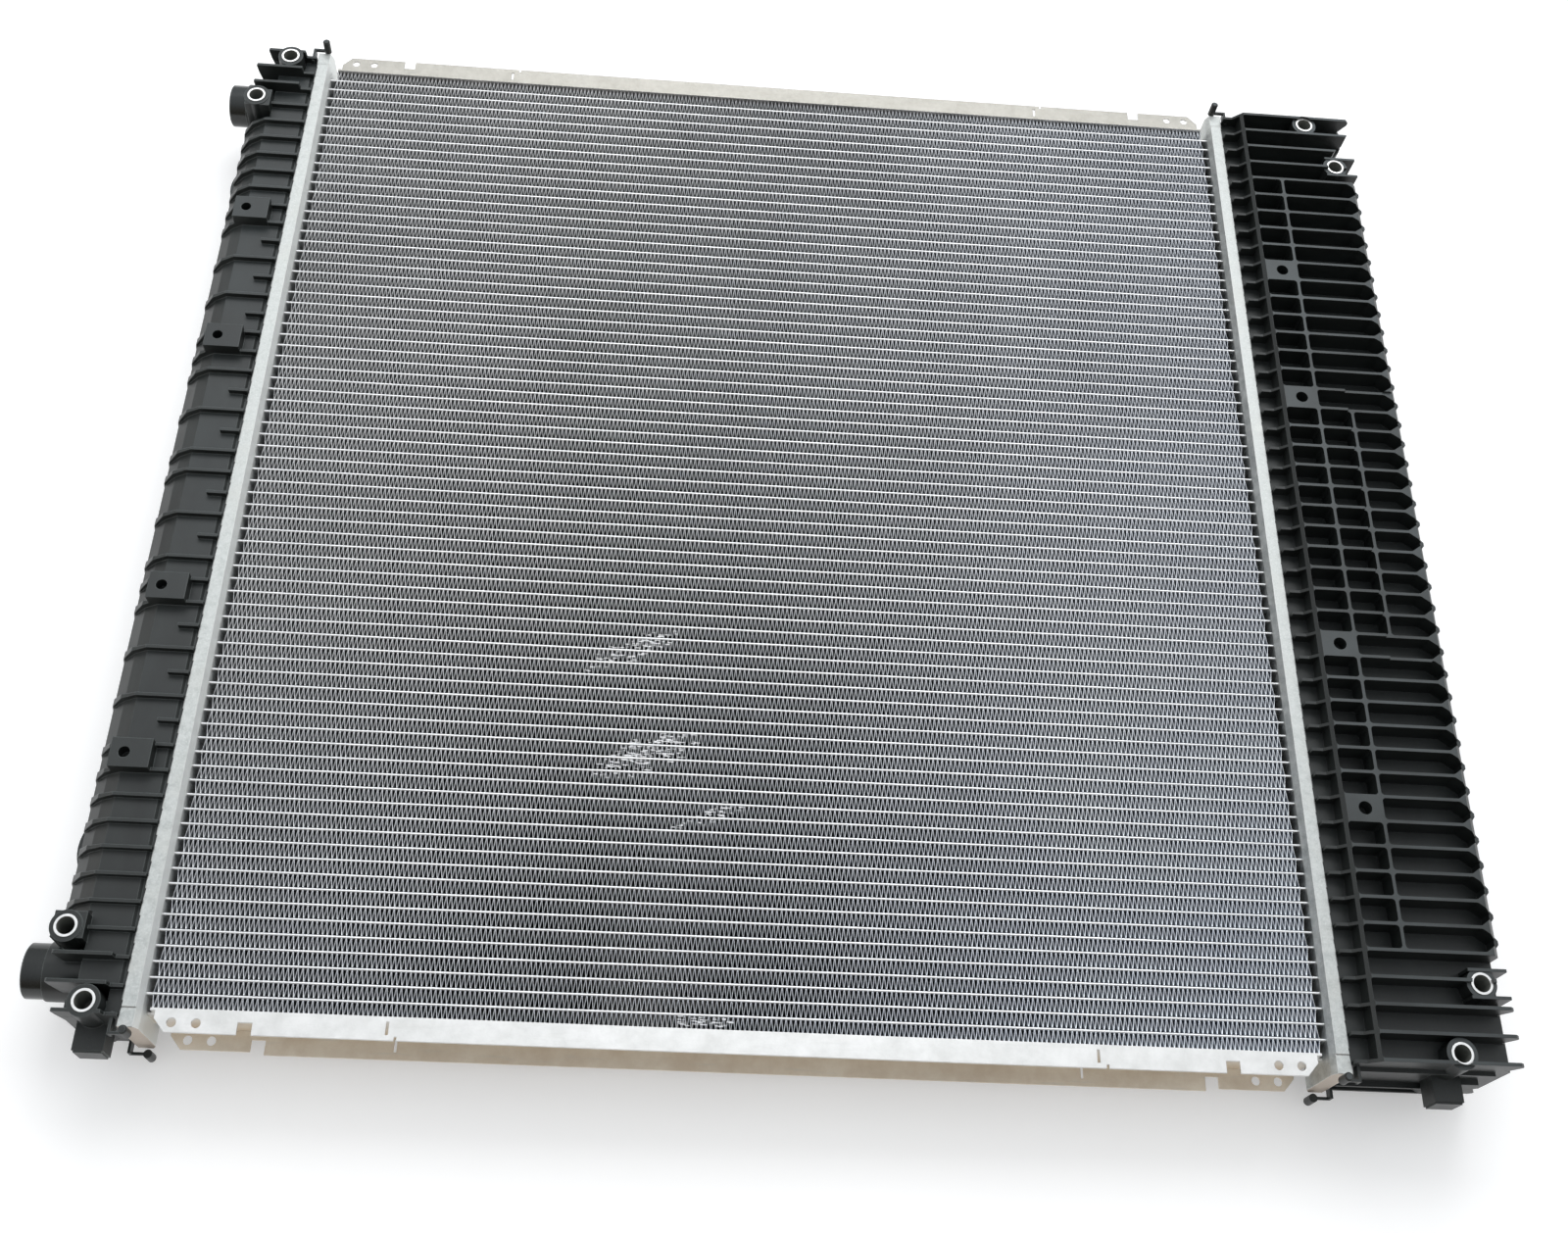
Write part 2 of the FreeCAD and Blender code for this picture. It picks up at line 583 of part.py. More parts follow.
def wide_tank():
    cells = wide_cells()
    tools = cells + [flip_z(cell) for cell in cells]
    last = rib_y(WIDE_RIB3_LAST + 1) + RIB_THICK / 2
    tools.append(box(560.5, ALL, -last, last, WIDE_RIB_TOP - 2.5, ALL))
    tank = cut(wide_body(), tools)

    solids = [foot()] + corner_lugs()
    for k in range(WIDE_RIB2_LAST + 1):
        y = rib_y(k) - RIB_PITCH / 2
        bump = prism_xy([(WIDE_SIDE - 1, y - 5.5), (WIDE_SIDE, y - 4.5), (WIDE_SIDE_BUMP, y - 1.6),
                         (WIDE_SIDE_BUMP, y + 1.6), (WIDE_SIDE, y + 4.5), (WIDE_SIDE - 1, y + 5.5)],
                        -47.0, 47.0)
        solids += ends_of(bump) if k else [bump]
    for piece in wide_corner() + wide_end_wall():
        solids += ends_of(piece)
    x0, x1, half = WIDE_PAD
    for y in PAD_Y:
        solids += ends_of(box(x0, x1, y - half, y + half, REAR_REST, -WIDE_RIB_TOP + 12))
    solids.append(peg(WIDE_END_BUSH[0]))
    tank = tank.fuse(solids)

    notch = prism_xy([(588.5, 441.2), (600.0, 453.5), (608.0, 465.0), (615.5, 487.5),
                      (640.0, 487.5), (640.0, 441.2)], -ALL, ALL)
    tank = tank.cut(wide_cavity() + [notch])
    bores = []
    for x, y in (WIDE_OUTER_BUSH, WIDE_END_BUSH):
        bores += ends_of(rod(x, y, WIDE_BUSH_TOP - SLEEVE_LENGTH, ALL, SLEEVE_OUT_R))
        bores += ends_of(rod(x, y, -ALL, WIDE_BUSH_TOP, SLEEVE_BORE_R + 0.5))
    for y in PAD_Y:
        bores += ends_of(rod(PAD_HOLE_X, y, WIDE_RIB_TOP - 14, ALL, WIDE_PAD_HOLE_R))
        bores += ends_of(rod(PAD_HOLE_X, y, -ALL, REAR_REST + 14, WIDE_PAD_HOLE_R))
    return cut(tank, bores)


# ---------------------------------------------------------------- drain plug
def drain_plug():
    x, y = -DRAIN[0], DRAIN[1]
    face = DRAIN_BOSS_END - 0.35
    plug = rod(x, y, -31.0, face, DRAIN_BORE_R - 0.05).fuse([
        rod(x, y, face, face - 7.0, 9.5),
        box(x - 12.5, x + 12.5, y - 2.4, y + 2.4, face - 6.0, face - 13.0)])
    groove = rod(x, y, -36.0, -34.0, 10.0).cut(rod(x, y, -36.0, -34.0, 4.6))
    return plug.cut(groove)


def drain_seal():
    x, y = -DRAIN[0], DRAIN[1]
    ring = rod(x, y, -35.95, -34.05, DRAIN_BORE_R - 0.05)
    return ring.cut(rod(x, y, -40.0, -30.0, 4.65))


# ---------------------------------------------------------------- assemble
x, y = NARROW_OUTER_BUSH
ex, ey = NARROW_END_BUSH
wx, wy = WIDE_OUTER_BUSH
wex, wey = WIDE_END_BUSH
plate = side_plate()
pan = header()
ring = gasket()
nodes = {
    "tubes_upper_pass": tube_rows(1, TUBES_PER_PASS),
    "tube_dead_row": tube_rows(0, 0),
    "tubes_lower_pass": tube_rows(-TUBES_PER_PASS, -1),
    "fins_upper_pass": fin_rows(1),
    "fins_lower_pass": fin_rows(-1),
    "header_left": flip_x(pan),
    "header_right": pan,
    "gasket_left": flip_x(ring),
    "gasket_right": ring,
    "side_plate_upper": plate,
    "side_plate_lower": flip_y(plate),
    "tank_left": narrow_tank(),
    "tank_right": wide_tank(),
    "pass_baffle": pass_baffle(),
    "baffle_seal": baffle_seal(),
    "outer_sleeves_left": Part.makeCompound(ends_of(sleeve(-x, y, NARROW_BUSH_TOP))),
    "end_sleeves_left": Part.makeCompound(ends_of(sleeve(-ex, ey, NARROW_BUSH_TOP))),
    "outer_sleeves_right": Part.makeCompound(ends_of(sleeve(wx, wy, WIDE_BUSH_TOP))),
    "end_sleeves_right": Part.makeCompound(ends_of(sleeve(wex, wey, WIDE_BUSH_TOP))),
    "drain_plug": drain_plug(),
    "drain_seal": drain_seal(),
}

# the row's origin is the middle of the outline, at the height of the resting plane
low_x, high_x = -STUB_END, WIDE_CORNER_TIP
low_y, high_y = -PEG_END, 507.3
shift = Vector(-(low_x + high_x) / 2, -(low_y + high_y) / 2, -REAR_REST)
for name, shape in nodes.items():
    moved = shape.copy()
    moved.translate(shift)
    moved.exportStep("parts/" + name + ".step")
    size = moved.BoundBox
    print(name, len(moved.Solids), "solids", moved.isValid(),
          "x %.1f %.1f y %.1f %.1f z %.1f %.1f" % (size.XMin, size.XMax, size.YMin,
                                                   size.YMax, size.ZMin, size.ZMax))
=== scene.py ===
"""Looks for the cross-flow radiator: corrugated fins, procedural materials, soft studio light, camera."""

import bpy
import numpy as np
from mathutils import Matrix, Vector


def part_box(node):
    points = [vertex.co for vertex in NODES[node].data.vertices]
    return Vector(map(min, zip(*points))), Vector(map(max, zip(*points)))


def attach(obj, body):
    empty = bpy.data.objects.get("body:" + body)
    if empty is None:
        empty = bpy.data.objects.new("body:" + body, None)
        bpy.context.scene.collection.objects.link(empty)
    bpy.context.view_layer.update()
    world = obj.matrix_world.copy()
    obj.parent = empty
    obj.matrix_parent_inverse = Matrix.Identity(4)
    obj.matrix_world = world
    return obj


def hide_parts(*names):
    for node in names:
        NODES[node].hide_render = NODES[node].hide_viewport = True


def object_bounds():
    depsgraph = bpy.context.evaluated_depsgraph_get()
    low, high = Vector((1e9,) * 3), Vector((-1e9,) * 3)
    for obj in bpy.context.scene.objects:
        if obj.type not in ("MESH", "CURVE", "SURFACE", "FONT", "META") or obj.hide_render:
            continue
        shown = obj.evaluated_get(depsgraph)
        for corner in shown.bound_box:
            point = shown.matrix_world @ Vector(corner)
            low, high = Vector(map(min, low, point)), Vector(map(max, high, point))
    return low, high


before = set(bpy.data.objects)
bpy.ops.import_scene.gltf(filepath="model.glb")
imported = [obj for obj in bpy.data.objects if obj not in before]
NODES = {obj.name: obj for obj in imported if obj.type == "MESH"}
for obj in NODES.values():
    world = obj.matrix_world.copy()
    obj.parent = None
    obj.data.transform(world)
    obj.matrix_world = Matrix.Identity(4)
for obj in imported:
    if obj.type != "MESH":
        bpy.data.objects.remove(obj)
CAD_BOX = [list(corner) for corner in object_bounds()]
MM = 0.001

# ---- driving numbers (metres) ------------------------------------------------------------
ROW_PITCH = 12.4 * MM          # tube to tube
FIN_HEIGHT = 10.2 * MM         # one corrugated strip, between two tubes
FIN_PERIOD = 3.8 * MM          # one full fold of the strip
FIN_CREST = 1.0 * MM           # flat crest of a fold, brazed to the tube
FIN_SHEET = 0.26 * MM          # sheet thickness as shown
FOLD_WANDER = 0.05 * MM        # random step from fold to fold
ROWS_PER_PASS = 39
FIN_INSET = 0.4 * MM           # fin strips sit this far behind the tube edges
LIT_DEPTH = 11 * MM            # how far into the core the fin walls still catch light
LOUVRE_WAVE = 5236.0           # radians per metre of depth: one louvre every 1.2 mm
# fins pushed over by knocks: x, y, half length, half width, slope of each patch
CRUSHED = ((-0.1375, -0.158, 0.046, 0.013, 0.45), (-0.120, -0.254, 0.048, 0.018, 0.40),
           (-0.066, -0.305, 0.034, 0.009, 0.35), (-0.063, -0.472, 0.034, 0.006, 0.0))
FLAPS_PER_FOLD = 4             # flaps tried in each row of a patch
FLAP_TALL = (0.25 * MM, 0.9 * MM)   # least and most, across the tubes
FLAP_LONG = (1.6 * MM, 6.0 * MM)    # least and most, along the tubes
FLAP_SHEET = 0.1 * MM
FLOOR = 20.0                   # half the side of the floor plane
FLOOR_GAP = 0.4 * MM           # between the floor and the part

# camera: place, axes and lens
CAM_PLACE = Vector((-0.10055, -0.80335, 1.50120))
CAM_RIGHT = Vector((0.99667, 0.02019, 0.07900))
CAM_UP = Vector((-0.05756, 0.86042, 0.50633))
CAM_BACK = Vector((-0.05775, -0.50919, 0.85872))
CAM_LENS, CAM_SENSOR, CAM_SHIFT_Y = 40.45, 36.0, -0.0931


# ---- node material helpers ---------------------------------------------------------------
class Mat:
    """A Principled material with short calls for the nodes used here, all in object coordinates."""

    def __init__(self, name, colour, rough, metal=0.0):
        self.mat = bpy.data.materials.new(name)
        self.mat.use_nodes = True
        self.tree = self.mat.node_tree
        self.shader = self.tree.nodes["Principled BSDF"]
        self.shader.inputs["Base Color"].default_value = (*colour, 1)
        self.shader.inputs["Roughness"].default_value = rough
        self.shader.inputs["Metallic"].default_value = metal
        self.coord = self.node("ShaderNodeTexCoord").outputs["Object"]
        self.normal = None

    def node(self, kind, **props):
        n = self.tree.nodes.new(kind)
        for k, v in props.items():
            setattr(n, k, v)
        return n

    def put(self, socket, value):
        if hasattr(value, "links"):
            self.tree.links.new(value, socket)
        else:
            socket.default_value = value

    def scaled(self, sx, sy, sz):
        n = self.node("ShaderNodeMapping")
        n.inputs["Scale"].default_value = (sx, sy, sz)
        self.put(n.inputs["Vector"], self.coord)
        return n.outputs["Vector"]

    def noise(self, scale, detail=3.0, rough=0.55, vector=None, distortion=0.0):
        n = self.node("ShaderNodeTexNoise")
        n.inputs["Scale"].default_value = scale
        n.inputs["Detail"].default_value = detail
        n.inputs["Roughness"].default_value = rough
        n.inputs["Distortion"].default_value = distortion
        self.put(n.inputs["Vector"], vector if vector is not None else self.coord)
        return n.outputs["Fac"]

    def ranged(self, value, a, b, lo, hi):
        n = self.node("ShaderNodeMapRange", clamp=True)
        for s, v in zip(("From Min", "From Max", "To Min", "To Max"), (a, b, lo, hi)):
            n.inputs[s].default_value = v
        self.put(n.inputs["Value"], value)
        return n.outputs["Result"]

    def math(self, op, a, b=0.0):
        n = self.node("ShaderNodeMath", operation=op)
        self.put(n.inputs[0], a)
        self.put(n.inputs[1], b)
        return n.outputs[0]

    def mix(self, fac, a, b, kind="MIX"):
        n = self.node("ShaderNodeMix", data_type="RGBA", blend_type=kind)
        self.put(n.inputs["Factor"], fac)
        for s, v in ((n.inputs[6], a), (n.inputs[7], b)):
            self.put(s, v if hasattr(v, "links") else (*v, 1))
        return n.outputs[2]

    def xyz(self):
        n = self.node("ShaderNodeSeparateXYZ")
        self.put(n.inputs[0], self.coord)
        return n.outputs

    def facing(self):
        """X, Y and Z of the direction that a face looks in."""
        n = self.node("ShaderNodeSeparateXYZ")
        self.put(n.inputs[0], self.node("ShaderNodeNewGeometry").outputs["Normal"])
        return n.outputs

    def flatness(self, tilted, level):
        """0 on faces whose |normal z| is below tilted, 1 on those above level."""
        return self.ranged(self.math("ABSOLUTE", self.facing()["Z"]), tilted, level, 0, 1)

    def bump(self, height, strength, distance):
        n = self.node("ShaderNodeBump")
        n.inputs["Strength"].default_value = strength
        n.inputs["Distance"].default_value = distance
        self.put(n.inputs["Height"], height)
        if self.normal is not None:
            self.put(n.inputs["Normal"], self.normal)
        self.normal = n.outputs["Normal"]

    def rounded(self, radius):
        """Softened corners: returns a mask that is 1 on an edge and 0 on a flat face."""
        n = self.node("ShaderNodeBevel", samples=4)
        n.inputs["Radius"].default_value = radius
        self.normal = n.outputs["Normal"]
        geo = self.node("ShaderNodeNewGeometry")
        dot = self.node("ShaderNodeVectorMath", operation="DOT_PRODUCT")
        self.put(dot.inputs[0], n.outputs["Normal"])
        self.put(dot.inputs[1], geo.outputs["Normal"])
        return self.ranged(dot.outputs["Value"], 0.99, 0.80, 0.0, 1.0)

    def done(self, colour, rough=None, metal=None):
        self.put(self.shader.inputs["Base Color"], colour)
        if rough is not None:
            self.put(self.shader.inputs["Roughness"], rough)
        if metal is not None:
            self.put(self.shader.inputs["Metallic"], metal)
        self.put(self.shader.inputs["Normal"], self.normal)
        return self.mat


def fin_metal():
    """Bright cut edges; walls darken into the depth of the core, as the louvres trap the light."""
    m = Mat("fin_metal", (0.70, 0.72, 0.74), 0.36, 1.0)
    x, y, z = m.xyz()
    low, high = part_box("fins_upper_pass")
    half = (high.z - low.z) / 2
    off = m.math("ABSOLUTE", m.math("SUBTRACT", z, (low.z + high.z) / 2))
    open_air = m.ranged(off, half - LIT_DEPTH, half - 0.5 * MM, 0.0, 1.0)
    # painted reflection: the fin colour turns from warm grey to blue towards +x and -y
    side = m.math("ADD", m.ranged(x, -0.20, 0.47, 0.0, 0.70), m.ranged(y, -0.12, -0.45, 0.0, 0.42))
    cloud = m.noise(3.2, 2.0)
    tint = m.mix(side, (0.79, 0.775, 0.725), (0.58, 0.74, 1.0))
    streak = m.noise(1.0, 3.0, vector=m.scaled(60, 600, 60))
    tint = m.mix(m.ranged(streak, 0.35, 0.75, 0, 0.4), tint, (0.52, 0.53, 0.56))
    # painted shade: the fin walls are painted dark, darkest deep in the core, while the cut edges stay
    # bright
    wall = m.mix(m.math("POWER", open_air, 1.6), (0.030, 0.032, 0.035), (0.34, 0.35, 0.37))
    wall = m.mix(0.55, wall, tint, "MULTIPLY")
    cut = m.flatness(0.7, 0.9)
    edge = m.mix(0.75, tint, (0.93, 0.94, 0.96))
    colour = m.mix(cut, wall, edge)
    # painted light and shade over the core: lighter towards +x, darker towards +y and down the middle, with
    # a random mottle of tone
    shade = m.ranged(x, -0.45, 0.45, 0.95, 1.10)
    shade = m.math("MULTIPLY", shade, m.ranged(y, -0.30, 0.40, 1.02, 0.86))
    from_middle = m.math("ABSOLUTE", m.math("ADD", x, 0.04))
    shade = m.math("MULTIPLY", shade, m.ranged(from_middle, 0, 0.28, 0.84, 1.0))
    shade = m.math("MULTIPLY", shade, m.ranged(m.noise(5.0, 2.0), 0.35, 0.65, 0.92, 1.05))
    grey = m.node("ShaderNodeCombineColor")
    for socket in grey.inputs[:3]:
        m.put(socket, shade)
    colour = m.mix(1.0, colour, grey.outputs[0], "MULTIPLY")
    louvre = m.math("SINE", m.math("MULTIPLY", z, LOUVRE_WAVE))
    m.bump(louvre, 0.5, 0.00012)
    m.bump(m.noise(900, 2.0), 0.25, 0.00006)
    return m.done(colour, m.ranged(cloud, 0.3, 0.7, 0.30, 0.46))


def bare_metal():
    """Freshly bent fin stock: bright, with fine scoring."""
    m = Mat("bare_fin_metal", (0.93, 0.93, 0.94), 0.45, 0.4)
    score = m.noise(1.0, 3.0, vector=m.scaled(300, 2200, 300))
    colour = m.mix(m.ranged(score, 0.3, 0.7, 0, 1), (0.56, 0.56, 0.57), (0.80, 0.80, 0.81))
    m.bump(score, 0.3, 0.00005)
    return m.done(colour, m.ranged(score, 0.3, 0.7, 0.38, 0.6))


def tube_metal():
    m = Mat("tube_metal", (0.80, 0.81, 0.82), 0.30, 1.0)
    streak = m.noise(1.0, 4.0, vector=m.scaled(35, 900, 300))
    spot = m.noise(420, 3.0)
    colour = m.mix(m.ranged(streak, 0.35, 0.7, 0, 1), (0.70, 0.71, 0.72), (0.88, 0.88, 0.88))
    m.bump(m.math("ADD", streak, m.math("MULTIPLY", spot, 0.5)), 0.3, 0.00008)
    return m.done(colour, m.ranged(spot, 0.3, 0.7, 0.24, 0.42))


def header_metal():
    """Pressed sheet with the frosty speckle that brazing leaves; faces looking towards -y, on the lower
    ends, are painted brown as a painted reflection of warm surroundings.
    """
    m = Mat("header_metal", (0.76, 0.77, 0.75), 0.42, 1.0)
    edge = m.rounded(0.0009)
    flux = m.noise(120, 5.0, 0.7)
    grain = m.noise(650, 3.0, 0.65)
    stain = m.noise(22, 3.0)
    colour = m.mix(m.ranged(flux, 0.35, 0.65, 0, 1), (0.40, 0.42, 0.41), (0.60, 0.62, 0.61))
    speck = m.ranged(grain, 0.50, 0.66, 0, 0.30)
    colour = m.mix(speck, colour, (0.76, 0.78, 0.76))
    colour = m.mix(m.ranged(stain, 0.5, 0.72, 0, 0.35), colour, (0.52, 0.52, 0.49))
    facing = m.facing()
    # the slopes of the left header face the light
    slope = m.ranged(m.math("ABSOLUTE", facing["X"]), 0.5, 0.8, 0, 1)
    left = m.ranged(m.xyz()[0], -0.1, 0.1, 0.8, 0.0)
    pale = m.math("MULTIPLY", slope, left)
    colour = m.mix(pale, colour, (0.86, 0.89, 0.88))
    # painted reflection: faces looking towards -y are painted brown
    down = m.ranged(facing["Y"], -0.5, -0.9, 0, 0.75)
    colour = m.mix(down, colour, (0.50, 0.41, 0.33))
    # painted highlight: the rounded edges are painted lighter
    colour = m.mix(m.math("MULTIPLY", edge, 0.55), colour, (0.95, 0.95, 0.94))
    m.bump(m.noise(90, 2.0), 0.35, 0.0005)
    m.bump(flux, 0.30, 0.0003)
    m.bump(grain, 0.25, 0.00010)
    return m.done(colour, m.ranged(flux, 0.35, 0.7, 0.42, 0.66), m.ranged(pale, 0, 1, 0.95, 0.35))


def plate_metal():
    """Rolled sheet, slightly warm; the rear flange is painted warmer and browner, a painted reflection of
    warm surroundings.
    """
    m = Mat("plate_metal", (0.80, 0.80, 0.78), 0.38, 1.0)
    edge = m.rounded(0.0007)
    cloud = m.noise(42, 5.0, 0.65)
    fine = m.noise(420, 3.0)
    scratch = m.noise(1.0, 3.0, vector=m.scaled(22, 240, 240))
    _, y, z = m.xyz()
    depth = m.ranged(z, 0.040, 0.088, 0, 1)
    # painted shade: flat faces of the upper plate are painted darker
    far = m.math("MULTIPLY", m.ranged(y, 0.0, 0.3, 0, 1), m.flatness(0.6, 0.9))
    # painted reflection: the colour turns warm brown towards the rear flange, at low z
    warm = m.mix(depth, (0.76, 0.66, 0.54), (0.66, 0.66, 0.645))
    pale = m.mix(depth, (0.86, 0.78, 0.66), (0.79, 0.79, 0.78))
    colour = m.mix(m.ranged(cloud, 0.36, 0.64, 0, 1), warm, pale)
    colour = m.mix(m.ranged(scratch, 0.60, 0.74, 0, 0.3), colour, (0.60, 0.60, 0.58))
    colour = m.mix(far, colour, (0.50, 0.485, 0.45), "MULTIPLY")
    # painted highlight: the rounded edges are painted lighter
    colour = m.mix(m.math("MULTIPLY", edge, 0.5), colour, (0.95, 0.95, 0.95))
    m.bump(cloud, 0.3, 0.0005)
    m.bump(fine, 0.3, 0.0001)
    m.bump(m.noise(16, 2.0), 0.25, 0.0012)
    return m.done(colour, m.ranged(fine, 0.3, 0.7, 0.30, 0.50), m.ranged(cloud, 0.4, 0.7, 1.0, 0.75))


def nylon(name="black_moulding", raised=None, fade=(1.0, 1.0), edge_gain=0.35, soft=0.0011,
          stub_x=None):
    """Glass-filled black nylon: fine grain, faint flow marks, lighter scuffed edges and raised faces.
    fade = how strongly those faces are lightened at the -y and +y end of the part; edge_gain = how light
    the painted edge highlight is;
    fade = dust at the lower and upper end of the part; edge_gain = how light the edges are;
    soft = their radius; stub_x = where the glossier round stubs begin, towards -x."""
    m = Mat(name, (0.012, 0.013, 0.013), 0.42)
    edge = m.rounded(soft)
    flow = m.noise(1.0, 4.0, 0.6, vector=m.scaled(26, 9, 60), distortion=0.6)
    fleck = m.noise(1500, 2.0, 0.7)
    cloud = m.noise(14, 3.0, 0.6)
    colour = m.mix(m.ranged(flow, 0.35, 0.72, 0, 1), (0.0075, 0.0095, 0.0090), (0.016, 0.020, 0.019))
    colour = m.mix(m.ranged(fleck, 0.60, 0.76, 0, 0.25), colour, (0.10, 0.105, 0.105))
    # painted highlight with some scuffing: the rounded edges are painted lighter
    colour = m.mix(m.math("MULTIPLY", edge, edge_gain), colour, (0.21, 0.245, 0.24))
    # faces looking along z are painted lighter in a mottle: partly a dusting, partly a painted sheen
    dust_and_sheen = m.math("MULTIPLY", m.flatness(0.72, 1.0), m.ranged(cloud, 0.3, 0.7, 0.04, 0.17))
    # painted shade: recesses below raised[0] keep little of the lightening and stay dark
    if raised:
        z = m.xyz()[2]
        dust_and_sheen = m.math("MULTIPLY", dust_and_sheen, m.ranged(z, *raised, 0.12, 1.0))
    dust_and_sheen = m.math("MULTIPLY", dust_and_sheen, m.ranged(m.xyz()[1], -0.42, 0.30, *fade))
    colour = m.mix(dust_and_sheen, colour, (0.185, 0.22, 0.235))
    m.bump(fleck, 0.22, 0.00006)
    m.bump(m.noise(260, 3.0), 0.20, 0.00018)
    m.bump(flow, 0.25, 0.0005)
    rough = m.ranged(cloud, 0.25, 0.75, 0.36, 0.50)
    if stub_x is not None:
        gloss = m.ranged(m.xyz()[0], stub_x, stub_x + 0.004, 1.0, 0.0)
        rough = m.math("SUBTRACT", rough, m.math("MULTIPLY", gloss, 0.24))
    return m.done(colour, rough)


def rubber():
    m = Mat("seal_rubber", (0.018, 0.018, 0.018), 0.62)
    fine = m.noise(900, 3.0)
    colour = m.mix(m.ranged(m.noise(40, 3.0), 0.3, 0.7, 0, 1), (0.014, 0.014, 0.014), (0.035, 0.035, 0.034))
    m.bump(fine, 0.3, 0.00008)
    return m.done(colour, m.ranged(fine, 0.3, 0.7, 0.5, 0.75))


def sleeve_metal():
    m = Mat("sleeve_metal", (0.80, 0.80, 0.79), 0.30, 1.0)
    edge = m.rounded(0.0004)
    turn = m.noise(1.0, 3.0, vector=m.scaled(300, 300, 2600))
    patch = m.noise(160, 3.0)
    # painted shade with some oxide: the walls of the bores are painted dark and dull, the flat faces bright
    face = m.flatness(0.3, 0.8)
    bright = m.mix(m.ranged(turn, 0.3, 0.7, 0, 1), (0.74, 0.74, 0.73), (0.92, 0.92, 0.91))
    dull = m.mix(m.ranged(patch, 0.3, 0.7, 0, 1), (0.14, 0.148, 0.132), (0.20, 0.208, 0.19))
    colour = m.mix(face, dull, bright)
    # painted highlight: the rounded edges are painted lighter
    colour = m.mix(m.math("MULTIPLY", edge, 0.5), colour, (0.95, 0.95, 0.94))
    m.bump(turn, 0.2, 0.00006)
    return m.done(colour, m.ranged(face, 0, 1, 0.6, 0.32), m.ranged(face, 0, 1, 0.1, 1.0))


def plug_nylon():
    m = Mat("plug_moulding", (0.05, 0.05, 0.052), 0.42)
    edge = m.rounded(0.0005)
    fleck = m.noise(1200, 2.0)
    colour = m.mix(m.ranged(fleck, 0.4, 0.7, 0, 1), (0.040, 0.041, 0.044), (0.075, 0.076, 0.08))
    # painted highlight: the rounded edges are painted lighter
    colour = m.mix(m.math("MULTIPLY", edge, 0.5), colour, (0.2, 0.2, 0.21))
    m.bump(fleck, 0.25, 0.00005)
    return m.done(colour, m.ranged(m.noise(60), 0.3, 0.7, 0.34, 0.5))


def floor_paint():
    m = Mat("floor_paint", (0.86, 0.86, 0.86), 0.6)
    m.shader.inputs["Emission Color"].default_value = (1, 1, 1, 1)
    m.shader.inputs["Emission Strength"].default_value = 0.24
    colour = m.mix(m.ranged(m.noise(1.6, 3.0), 0.3, 0.7, 0, 1), (0.89, 0.89, 0.89), (0.92, 0.92, 0.92))
    m.bump(m.noise(600, 2.0), 0.05, 0.0001)
    # clear from beneath, so that the rear of the part can be looked at
    back = m.node("ShaderNodeNewGeometry").outputs["Backfacing"]
    blend = m.node("ShaderNodeMixShader")
    m.put(blend.inputs[0], back)
    m.put(blend.inputs[1], m.shader.outputs[0])
    m.put(blend.inputs[2], m.node("ShaderNodeBsdfTransparent").outputs[0])
    m.put(m.tree.nodes["Material Output"].inputs["Surface"], blend.outputs[0])
    return m.done(colour)


# ---- the corrugated fins -----------------------------------------------------------------
def fin_sheet(name, node, seed):
    """All fin strips of one pass: one folded ribbon per row, from tube to tube, full core depth."""
    rng = np.random.default_rng(seed)
    low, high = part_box(node)
    z0, z1 = low.z + FIN_INSET, high.z - FIN_INSET
    half = FIN_PERIOD / 2
    folds = int((high.x - low.x - FIN_CREST) / half)
    slack = (high.x - low.x) - folds * half
    stations = 2 * (folds + 1)
    side = np.tile([-1.0, 1.0], folds + 1)
    verts, faces = [], []
    for row in range(ROWS_PER_PASS):
        y0 = low.y + row * ROW_PITCH
        y1 = y0 + FIN_HEIGHT
        drift = np.cumsum(rng.normal(0, FOLD_WANDER, folds + 1))
        drift -= np.linspace(0, drift[-1], folds + 1)
        x = low.x + slack / 2 + np.arange(folds + 1) * half + np.clip(drift, -half / 5, half / 5)
        x = np.repeat(x, 2)
        top = np.repeat((np.arange(folds + 1) + row) % 2 == 0, 2)
        wide, narrow = side * FIN_CREST / 2, side * (FIN_CREST / 2 - FIN_SHEET)
        upper = np.stack([x + np.where(top, wide, narrow), np.where(top, y1, y0 + FIN_SHEET)], 1)
        lower = np.stack([x + np.where(top, narrow, wide), np.where(top, y1 - FIN_SHEET, y0)], 1)
        block = np.empty((stations, 4, 3))
        block[:, 0, :2] = block[:, 3, :2] = upper
        block[:, 1, :2] = block[:, 2, :2] = lower
        block[:, :, 0] = np.clip(block[:, :, 0], low.x, high.x)
        block[:, :2, 2], block[:, 2:, 2] = z1, z0
        verts.append(block.reshape(-1, 3))
        i = row * stations * 4 + np.arange(stations - 1)[:, None] * 4
        for a, b in ((0, 1), (1, 2), (2, 3), (3, 0)):
            faces.append(np.hstack([i + a, i + b, i + 4 + b, i + 4 + a]))
    mesh = bpy.data.meshes.new(name)
    co, quads = np.concatenate(verts), np.concatenate(faces)
    mesh.vertices.add(len(co))
    mesh.vertices.foreach_set("co", co.astype(np.float32).ravel())
    mesh.loops.add(quads.size)
    mesh.loops.foreach_set("vertex_index", quads.astype(np.int32).ravel())
    mesh.polygons.add(len(quads))
    mesh.polygons.foreach_set("loop_start", np.arange(0, quads.size, 4, dtype=np.int32))
    mesh.update(calc_edges=True)
    mesh.validate()
    obj = bpy.data.objects.new(name, mesh)
    bpy.context.scene.collection.objects.link(obj)
    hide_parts(node)
    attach(obj, "radiator")
    return obj


# corners 0 to 3 of a box run round its top, and 4 to 7 lie below them
BOX_FACES = ((0, 1, 2, 3), (7, 6, 5, 4), (0, 4, 5, 1), (1, 5, 6, 2), (2, 6, 7, 3), (3, 7, 4, 0))


